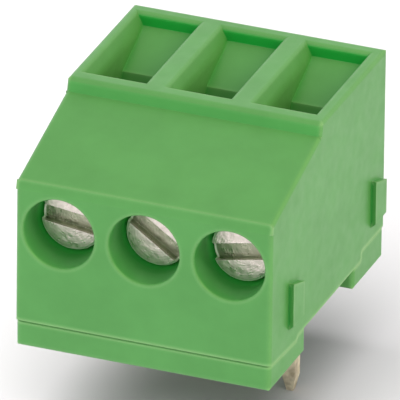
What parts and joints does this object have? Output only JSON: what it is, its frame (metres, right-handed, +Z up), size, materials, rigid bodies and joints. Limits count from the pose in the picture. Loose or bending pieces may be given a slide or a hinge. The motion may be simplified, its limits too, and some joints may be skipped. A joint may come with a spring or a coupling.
{
  "type": "pcb screw terminal",
  "caption": "Printed-circuit-board screw terminal with funnel wire entries on top, front screws that draw up clamp cages, and solder pins below.",
  "frame": {"origin": "middle of the row of solder pins, on the board's surface", "axes": "+Z up from the board towards the wire entries, the screws face -Y, +X along the row of poles to the right as seen from the screws"},
  "size_m": [0.0155, 0.0179, 0.0182],
  "materials": {
    "housing_plastic": "moulded green polyamide, satin",
    "cover_plastic": "moulded green polyamide, satin",
    "screw_steel": "zinc plated, slightly pitted",
    "cage_metal": "nickel plated",
    "contact_tin": "dull tin plate"
  },
  "bodies": {
    "root": {"housing": "housing_plastic", "base_cover": "cover_plastic", "contact_1": "contact_tin", "contact_2": "contact_tin", "contact_3": "contact_tin"},
    "screw_1": {"screw_1": "screw_steel"},
    "cage_1": {"clamp_cage_1": "cage_metal"},
    "screw_2": {"screw_2": "screw_steel"},
    "cage_2": {"clamp_cage_2": "cage_metal"},
    "screw_3": {"screw_3": "screw_steel"},
    "cage_3": {"clamp_cage_3": "cage_metal"}
  },
  "joints": [
    {"name": "screw_1_turn", "type": "hinge", "parent": "root", "child": "screw_1", "pos_m": [-0.00508, -0.008, 0.00735], "axis": [0, 1, 0], "range_deg": [0, 1800]},
    {"name": "cage_1_slide", "type": "slide", "parent": "root", "child": "cage_1", "axis": [0, -1, 0], "range_m": [0, 0.0025]},
    {"name": "screw_2_turn", "type": "hinge", "parent": "root", "child": "screw_2", "pos_m": [0, -0.008, 0.00735], "axis": [0, 1, 0], "range_deg": [0, 1800]},
    {"name": "cage_2_slide", "type": "slide", "parent": "root", "child": "cage_2", "axis": [0, -1, 0], "range_m": [0, 0.0025]},
    {"name": "screw_3_turn", "type": "hinge", "parent": "root", "child": "screw_3", "pos_m": [0.00508, -0.008, 0.00735], "axis": [0, 1, 0], "range_deg": [0, 1800]},
    {"name": "cage_3_slide", "type": "slide", "parent": "root", "child": "cage_3", "axis": [0, -1, 0], "range_m": [0, 0.0025]}
  ],
  "couplings": [
    {"joint": "screw_1_turn", "follows": "cage_1_slide", "rad_per_m": 12566},
    {"joint": "screw_2_turn", "follows": "cage_2_slide", "rad_per_m": 12566},
    {"joint": "screw_3_turn", "follows": "cage_3_slide", "rad_per_m": 12566}
  ]
}
